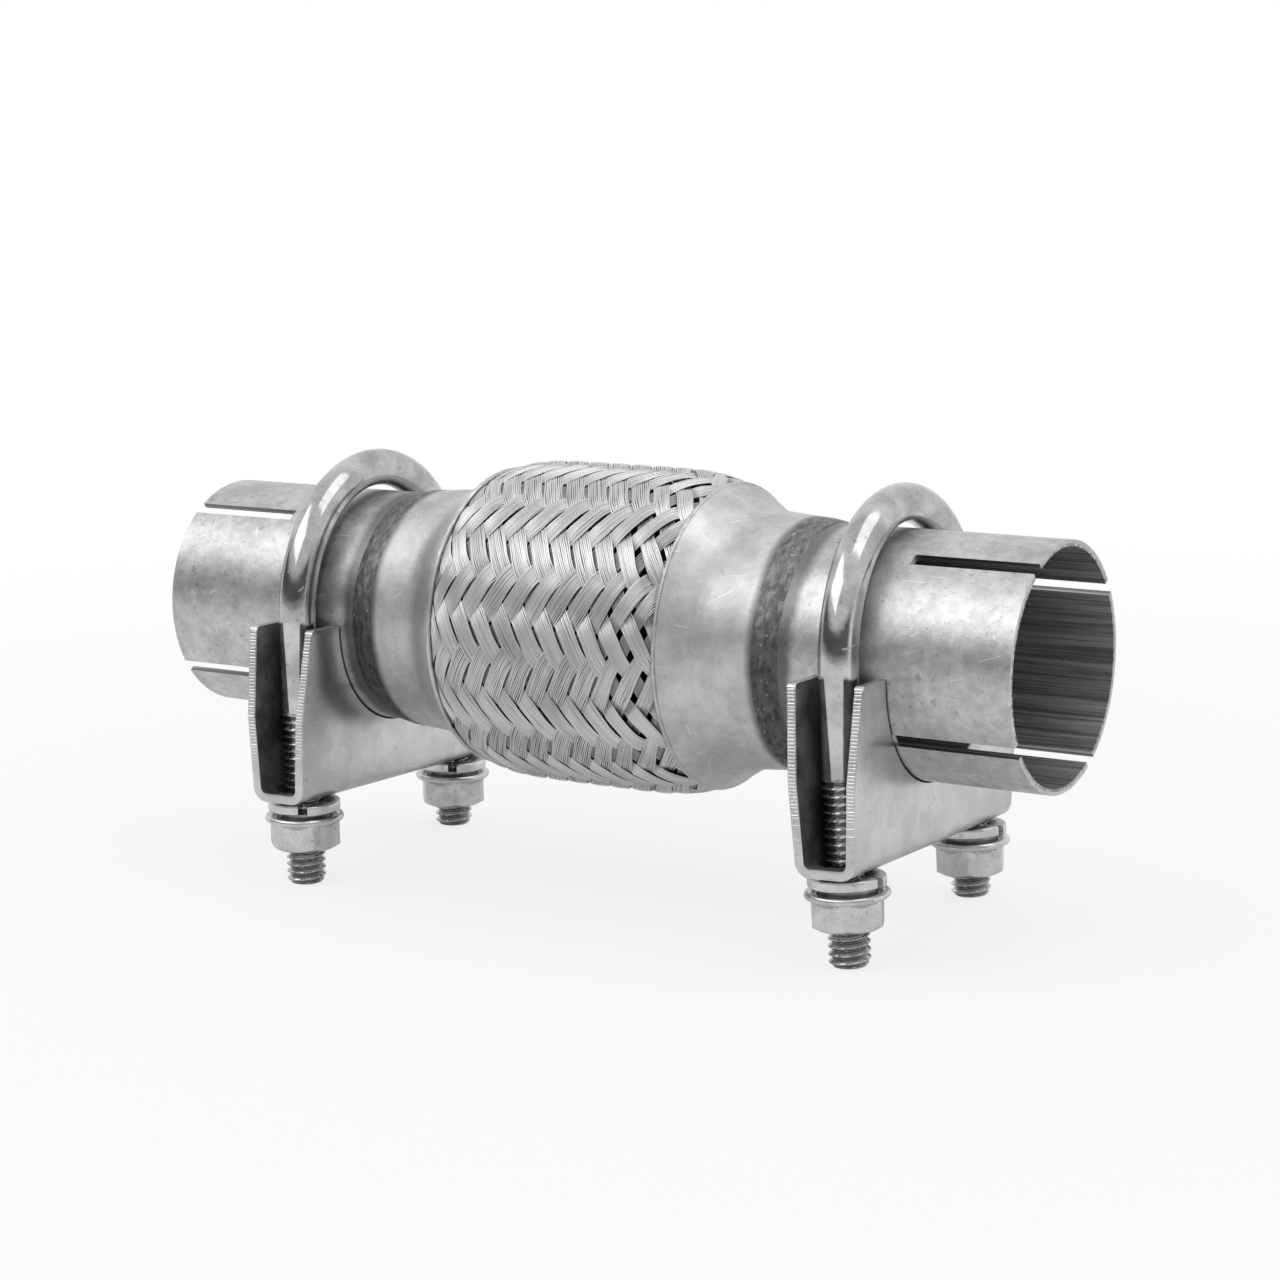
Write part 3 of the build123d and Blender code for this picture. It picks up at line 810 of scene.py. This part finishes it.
# the saddles' sizes, which also say where the washers hang
saddle = {
    "sheet": 1.8 * mm, "baseWidth": 11.9 * mm, "splay": math.radians(2.9), "depth": 37.8 * mm,
    "lean": math.radians(2.7), "shift": 0.95 * mm, "rise": 0.2 * mm, "earTop": 2.0 * mm, "earFoot": 12.0 * mm,
    "earReach": 6.8 * mm, "kinkDepth": 20.2 * mm, "kinkReach": 9.1 * mm, "baseReach": 8.0 * mm,
    "edge": 0.14 * mm, "sharpOver": math.radians(40), "flatWithin": math.radians(0.6), "endSlack": 0.05 * mm,
    "toothProud": 0.2 * mm, "toothTop": 3.1 * mm, "toothFoot": 3.2 * mm}
teeth = {
    "pitch": 0.64 * mm, "radius": 0.31 * mm, "length": saddle["sheet"] - 2 * saddle["edge"], "sides": 8,
    "smallest": (0.86, 0.78, 0.8), "largest": (0.98, 1.0, 1.05)}

washerTree = makeWasherTree()
for end in clampFits:
    for side, y in (("Near", -legReach), ("Far", legReach)):
        # a washer hangs level under the leaning saddle, and the nut sits under the washer
        web = saddle["rise"] - (saddle["depth"] + (y - saddle["shift"]) * math.sin(saddle["lean"])) / math.cos(
            saddle["lean"])
        reach = washer["radius"] + washer["width"] / 2
        seat = web - reach * math.tan(saddle["lean"]) - washer["rise"] - washer["thickness"]
        place = clampFrame(end) @ Matrix.Translation((0.0, y, seat))
        node = end + "_" + side.lower()
        mesh = growMesh(end + side + "SpringWasher", washerTree, {**washer, "material": washerZinc})
        mesh.transform(place @ Matrix.Rotation(math.radians(washerTurn[end]), 4, "Z"))
        smoothByAngle(mesh, degrees=30)
        newPiece(mesh.name, mesh, washerZinc, node + "_washer")
        mesh = makeNutMesh(end + side + "FlangeNut", nut["turn"][end + side])
        mesh.transform(place @ Matrix.Translation((0.0, 0.0, -nut["height"] * mm)))
        smoothByAngle(mesh, degrees=28)
        newPiece(mesh.name, mesh, nutZinc, node + "_nut")
print("washers and nuts made")


# the saddles: the CAD channel with worn edges, and its sheared ends with a row of fine teeth
def saddleFrame(end):
    return (clampFrame(end) @ Matrix.Translation((0.0, saddle["shift"], saddle["rise"]))
            @ Matrix.Rotation(-saddle["lean"], 4, "X"))


def saddleEndAt(height):
    # how far a wall reaches along the channel at this height
    top, kink, base = -saddle["earTop"], -saddle["kinkDepth"], -saddle["depth"]
    if height > kink:
        share = (height - kink) / (top - kink)
        return legReach + saddle["kinkReach"] + share * (saddle["earReach"] - saddle["kinkReach"])
    share = (height - base) / (kink - base)
    return legReach + saddle["baseReach"] + share * (saddle["kinkReach"] - saddle["baseReach"])


def saddleWallAt(height):
    # the middle of a wall's thickness, from the channel's middle
    return (saddle["baseWidth"] / 2 + (height + saddle["depth"]) * math.tan(saddle["splay"])
            - saddle["sheet"] / 2 / math.cos(saddle["splay"]))


def makeSaddleMesh(end):
    home = saddleFrame(end)
    back = home.inverted()
    work = bmesh.new()
    work.from_mesh(nodes[end + "_saddle"].data)
    bmesh.ops.remove_doubles(work, verts=work.verts, dist=sameSpot)
    bmesh.ops.transform(work, matrix=back, verts=work.verts)
    bmesh.ops.dissolve_limit(work, angle_limit=saddle["flatWithin"], verts=work.verts, edges=work.edges)
    # the walls' ends step back to leave room for the teeth
    for vert in work.verts:
        x, y, z = vert.co
        if z > 3 * saddle["sheet"] - saddle["depth"] and abs(y) > saddleEndAt(z) - saddle["endSlack"]:
            vert.co.y -= math.copysign(saddle["toothProud"], y)
    sharp = [edge for edge in work.edges
             if len(edge.link_faces) == 2 and edge.calc_face_angle() > saddle["sharpOver"]]
    bmesh.ops.bevel(work, geom=sharp, offset=saddle["edge"], segments=2, profile=0.5, affect="EDGES",
                    clamp_overlap=True)
    bmesh.ops.triangulate(work, faces=[face for face in work.faces if len(face.verts) > 4])
    bmesh.ops.transform(work, matrix=home, verts=work.verts)
    mesh = finishMesh(work, end + "SaddleChannel")
    smoothByAngle(mesh, degrees=25)
    # painted shade: the channel's inside faces are marked for a darker grey, for the shade between its walls
    inner = mesh.attributes.new("paintedInsideShade", "FLOAT", "FACE")
    for face in mesh.polygons:
        spot = back @ face.center
        facing = back.to_3x3() @ face.normal
        toMiddle = Vector((-spot.x, 0.0, -saddle["depth"] / 2 - spot.z))
        onTop = facing.z > steep and spot.z > -saddle["earFoot"]
        inner.data[face.index].value = float(facing.dot(toMiddle) > 0 and abs(facing.y) < 0.5 and not onTop)
    return mesh


def makeTeethTree():
    # a row of short bars down one wall's end, mirrored to all four
    start = (0.0, 0.0, 0.0)
    tree, given, out = newShapeTree(
        "shearedEdge", {"top": start, "kink": start, "base": start, **teeth, "seed": 1})
    wallEnd = tree.nodes.new("GeometryNodeJoinGeometry")
    for first, second in ((given.top, given.kink), (given.kink, given.base)):
        line = get(tree, "GeometryNodeCurvePrimitiveLine", {"Start": first, "End": second})
        plug(tree, line, wallEnd.inputs[0])
    wallEnds = tree.nodes.new("GeometryNodeJoinGeometry")
    for across, along in ((1.0, 1.0), (1.0, -1.0), (-1.0, 1.0), (-1.0, -1.0)):
        mirrored = get(tree, "GeometryNodeTransform", {
            "Geometry": Feed(wallEnd.outputs[0]), "Scale": (across, along, 1.0)})
        plug(tree, mirrored, wallEnds.inputs[0])
    spots = get(tree, "GeometryNodeResampleCurve", {
        "Curve": Feed(wallEnds.outputs[0]), "Length": given.pitch}, mode="LENGTH")
    bar = get(tree, "GeometryNodeMeshCylinder", {
        "Vertices": given.sides, "Radius": given.radius, "Depth": given.length})
    lying = get(tree, "GeometryNodeTransform", {"Geometry": bar, "Rotation": (0.0, math.pi / 2, 0.0)})
    size = get(tree, "FunctionNodeRandomValue", {
        0: given.smallest, 1: given.largest, "Seed": given.seed}, data_type="FLOAT_VECTOR")
    bars = get(tree, "GeometryNodeInstanceOnPoints", {"Points": spots, "Instance": lying, "Scale": size})
    return closeTree(bars, given, out)


teethTree = makeTeethTree()
for end, seed in (("left", 5), ("right", 8)):
    channel = makeSaddleMesh(end)
    newPiece(channel.name, channel, saddleZinc, end + "_saddle")
    lowest = saddle["toothFoot"] - saddle["depth"]
    heights = {"top": -saddle["toothTop"], "kink": -saddle["kinkDepth"], "base": lowest}
    corners = {label: (saddleWallAt(height), saddleEndAt(height) - teeth["radius"], height)
               for label, height in heights.items()}
    settings = {**corners, **teeth, "seed": seed, "material": saddleZinc}
    marks = growMesh(end + "SaddleShearMarks", teethTree, settings)
    marks.transform(saddleFrame(end))
    smoothByAngle(marks, degrees=50)
    newPiece(marks.name, marks, saddleZinc, end + "_saddle")
    print(end, "saddle", len(channel.polygons), "faces and", len(marks.polygons), "on its sheared ends")


# the collars: the CAD shells with a rolled, slightly nicked lip where each grips the braid
lip = {
    "place": (26.1 * mm, 0.0, pipeHeight), "ring": 29.98 * mm, "radius": 0.48 * mm, "nicks": 0.1 * mm,
    "sunk": 0.6, "grain": 1500.0, "around": 420, "sides": 10}


def makeLipTree():
    tree, given, out = newShapeTree("rolledLip", lip)
    rolled = sweep(circle(given.around, given.ring), circle(given.sides, given.radius), caps=False)
    depth = (noise(ownPlace(tree), given.grain, 2.0) - given.sunk) * given.nicks * 2.0
    push = vectorMaths("SCALE", get(tree, "GeometryNodeInputNormal", {}), {"Scale": depth})
    nicked = get(tree, "GeometryNodeSetPosition", {"Geometry": rolled, "Offset": push})
    stood = get(tree, "GeometryNodeTransform", {
        "Geometry": nicked, "Translation": given.place, "Rotation": (0.0, math.pi / 2, 0.0)})
    return closeTree(stood, given, out)


lipTree = makeLipTree()
for end, direction in outward.items():
    x, y, z = lip["place"]
    ring = growMesh(end + "Lip", lipTree, {**lip, "place": (direction * x, y, z), "material": collarSteel})
    turnFacesOut(ring)
    work = bmesh.new()
    work.from_mesh(nodes[end + "_collar"].data)
    bmesh.ops.remove_doubles(work, verts=work.verts, dist=sameSpot)
    work.from_mesh(ring)
    mesh = finishMesh(work, end + "PressedCollar")
    smoothByAngle(mesh, degrees=32)
    newPiece(mesh.name, mesh, collarSteel, end + "_collar")
    print(end, "collar", len(mesh.polygons), "faces")


# weld beads: a low crown of ripples between the end of each collar's neck and the stub
weld = {
    "start": 44.16 * mm, "length": 5.3 * mm, "top": 24.7 * mm, "toe": 23.8 * mm, "crown": 0.2 * mm,
    "sunk": 0.25 * mm, "ripple": 0.34 * mm, "rippleFade": 8.0, "grain": 800.0, "squeeze": 1.5,
    "overShare": 0.8, "seam": 0.005, "around": 360, "across": 26}


def makeWeldTree():
    tree, given, out = newShapeTree("weldBead", {**weld, "axisHeight": pipeHeight, "side": 1.0})
    sheet = get(tree, "GeometryNodeMeshGrid", {
        "Size X": 1.0, "Size Y": 1.0, "Vertices X": given.around, "Vertices Y": given.across})
    across, along, up = separate(ownPlace(tree))
    turn = (across + 0.5) * math.tau
    loop = along + 0.5
    # most of the loop runs over the bead, and the rest comes back under it
    overShare = given.overShare
    share = (calc("DIVIDE", loop, overShare, clamp=True)
             - calc("DIVIDE", loop - overShare, 1.0 - overShare, clamp=True))
    x = given.start + share * given.length
    arched = share * (1.0 - share)
    crowned = given.top - share * (given.top - given.toe) + given.crown * (4.0 * arched)
    aroundStub = combine(tree, x * given.squeeze, sine(turn) * given.toe, cosine(turn) * given.toe)
    grain = noise(aroundStub, given.grain, 3.0, 0.6)
    faded = calc("MULTIPLY", arched, given.rippleFade, clamp=True)
    upper = crowned + (grain - 0.5) * given.ripple * faded
    under = given.toe - given.sunk
    isBack = (loop > overShare + given.seam) * (loop < 1.0 - given.seam)
    radius = upper * (1.0 - isBack) + under * isBack
    rolled = moved(sheet, combine(tree, x * given.side, sine(turn) * radius,
                                  cosine(turn) * radius + given.axisHeight))
    closed = get(tree, "GeometryNodeMergeByDistance", {"Geometry": rolled, "Distance": sameSpot / 2})
    return closeTree(closed, given, out)


weldTree = makeWeldTree()
for end, direction in outward.items():
    mesh = growMesh(end + "WeldBead", weldTree, {**weld, "side": direction, "material": weldTintAndShade})
    turnFacesOut(mesh)
    smoothByAngle(mesh, degrees=60)
    newPiece(mesh.name, mesh, weldTintAndShade, end + "_weld")
    print(end, "weld", len(mesh.polygons), "faces")


# the camera stands where the photograph was taken
view = {
    "place": (0.3293, -0.51787, 0.16543), "yaw": -0.560217, "pitch": 0.184126, "roll": -0.016308,
    "focus": 3099.25, "frameWidth": 1280.0, "sensor": 36.0}


def addCamera():
    yaw, pitch, roll = view["yaw"], view["pitch"], view["roll"]
    forward = Vector((math.sin(yaw) * math.cos(pitch), math.cos(yaw) * math.cos(pitch), -math.sin(pitch)))
    level = Vector((math.cos(yaw), -math.sin(yaw), 0.0))
    upward = level.cross(forward)
    right = level * math.cos(roll) + upward * math.sin(roll)
    top = upward * math.cos(roll) - level * math.sin(roll)
    lens = bpy.data.cameras.new("photoCamera")
    lens.sensor_width = view["sensor"]
    lens.sensor_fit = "HORIZONTAL"
    lens.lens = view["focus"] / view["frameWidth"] * view["sensor"]
    lens.clip_start = 0.01
    lens.clip_end = 50.0
    camera = addObject("photoCamera", lens)
    turned = Matrix((right, top, -forward)).transposed().to_4x4()
    camera.matrix_world = Matrix.Translation(view["place"]) @ turned
    scene.camera = camera


addCamera()
scene.view_settings.view_transform = "Standard"
print("camera set")


# a white sweep under a pale dome, darker low down in front, and two softboxes
studio = {
    "floorSize": 6.0, "floorTone": 0.74, "farFrom": 0.16, "farTo": 0.5, "cameraNear": 0.8, "glossNear": 0.2,
    "glossFar": 0.5, "dome": 0.86, "front": 0.4, "frontFrom": 0.1, "frontTo": -0.25, "frontTop": 0.44,
    "frontBottom": 0.32, "edge": 0.12, "edgeFrom": 0.08, "edgeTo": 0.3, "edgeFade": 0.03, "aim": (0.0, 0.0, 0.05)}
softboxes = {
    "frontSoftbox": {"place": (-0.34, -0.5, 0.7), "width": 0.9, "depth": 0.42, "power": 1.7},
    "topSoftbox": {"place": (0.32, 0.1, 0.9), "width": 0.55, "depth": 0.7, "power": 1.35}}
white = (1.0, 1.0, 1.0, 1.0)


def addSoftbox(name, box):
    light = bpy.data.lights.new(name, "AREA")
    light.shape = "RECTANGLE"
    light.size = box["width"]
    light.size_y = box["depth"]
    light.energy = box["power"]
    lamp = addObject(name, light)
    lamp.location = box["place"]
    lamp.rotation_euler = (Vector(studio["aim"]) - Vector(box["place"])).to_track_quat("-Z", "Y").to_euler()


def addFloor():
    work = bmesh.new()
    bmesh.ops.create_grid(work, x_segments=1, y_segments=1, size=studio["floorSize"] / 2)
    mesh = finishMesh(work, "paleFloor")
    floor = addObject("paleFloor", mesh)
    material = bpy.data.materials.new("palePaper")
    material.use_nodes = True
    tree = material.node_tree
    tree.nodes.clear()
    matte = get(tree, "ShaderNodeBsdfDiffuse", {"Color": grey(studio["floorTone"])})
    glow = get(tree, "ShaderNodeEmission", {"Color": white, "Strength": 1.0})
    rays = tree.nodes.new("ShaderNodeLightPath").outputs
    place = get(tree, "ShaderNodeTexCoord", {}, "Object")
    far = remap(vectorMaths("LENGTH", place, {}, "Value"), studio["farFrom"], studio["farTo"])
    near, glossNear, glossFar = studio["cameraNear"], studio["glossNear"], studio["glossFar"]
    seen = Feed(rays["Is Camera Ray"]) * (near + far * (1.0 - near))
    mirrored = Feed(rays["Is Glossy Ray"]) * (glossNear + far * (glossFar - glossNear))
    mixed = get(tree, "ShaderNodeMixShader", {0: most(seen, mirrored), 1: matte, 2: glow})
    plug(tree, mixed, tree.nodes.new("ShaderNodeOutputMaterial").inputs[0])
    mesh.materials.append(material)


def addRoom():
    world = bpy.data.worlds.new("studioRoom")
    world.use_nodes = True
    scene.world = world
    tree = world.node_tree
    tree.nodes.clear()
    x, y, z = separate(get(tree, "ShaderNodeTexCoord", {}, "Generated"))
    front = remap(y, studio["frontFrom"], studio["frontTo"])
    dimmed = remap(z, studio["frontTop"], studio["frontBottom"]) * front * (studio["dome"] - studio["front"])
    # a dark band low in front gives the round pieces their dark outlines
    fade = studio["edgeFade"]
    band = (remap(z, studio["edgeFrom"] - fade, studio["edgeFrom"])
            * remap(z, studio["edgeTo"] + fade, studio["edgeTo"]))
    level = studio["dome"] - dimmed - band * front * (studio["front"] - studio["edge"])
    roomGlow = get(tree, "ShaderNodeBackground", {"Color": white, "Strength": level})
    plain = get(tree, "ShaderNodeBackground", {"Color": white, "Strength": 1.0})
    seen = get(tree, "ShaderNodeLightPath", {}, "Is Camera Ray")
    mixed = get(tree, "ShaderNodeMixShader", {0: seen, 1: roomGlow, 2: plain})
    plug(tree, mixed, tree.nodes.new("ShaderNodeOutputWorld").inputs[0])


addFloor()
addRoom()
for name, box in softboxes.items():
    addSoftbox(name, box)
print("studio lit")


# finishes on the pieces kept from the frame
keptFinishes = {
    "left_stub": stubSteel, "right_stub": stubSteel, "bellows": bellowsSteel, "inner_sleeve": sleeveSteel}
for name, material in keptFinishes.items():
    for slot in nodes[name].material_slots:
        slot.material = material
print("finishes on", len(keptFinishes), "kept pieces")
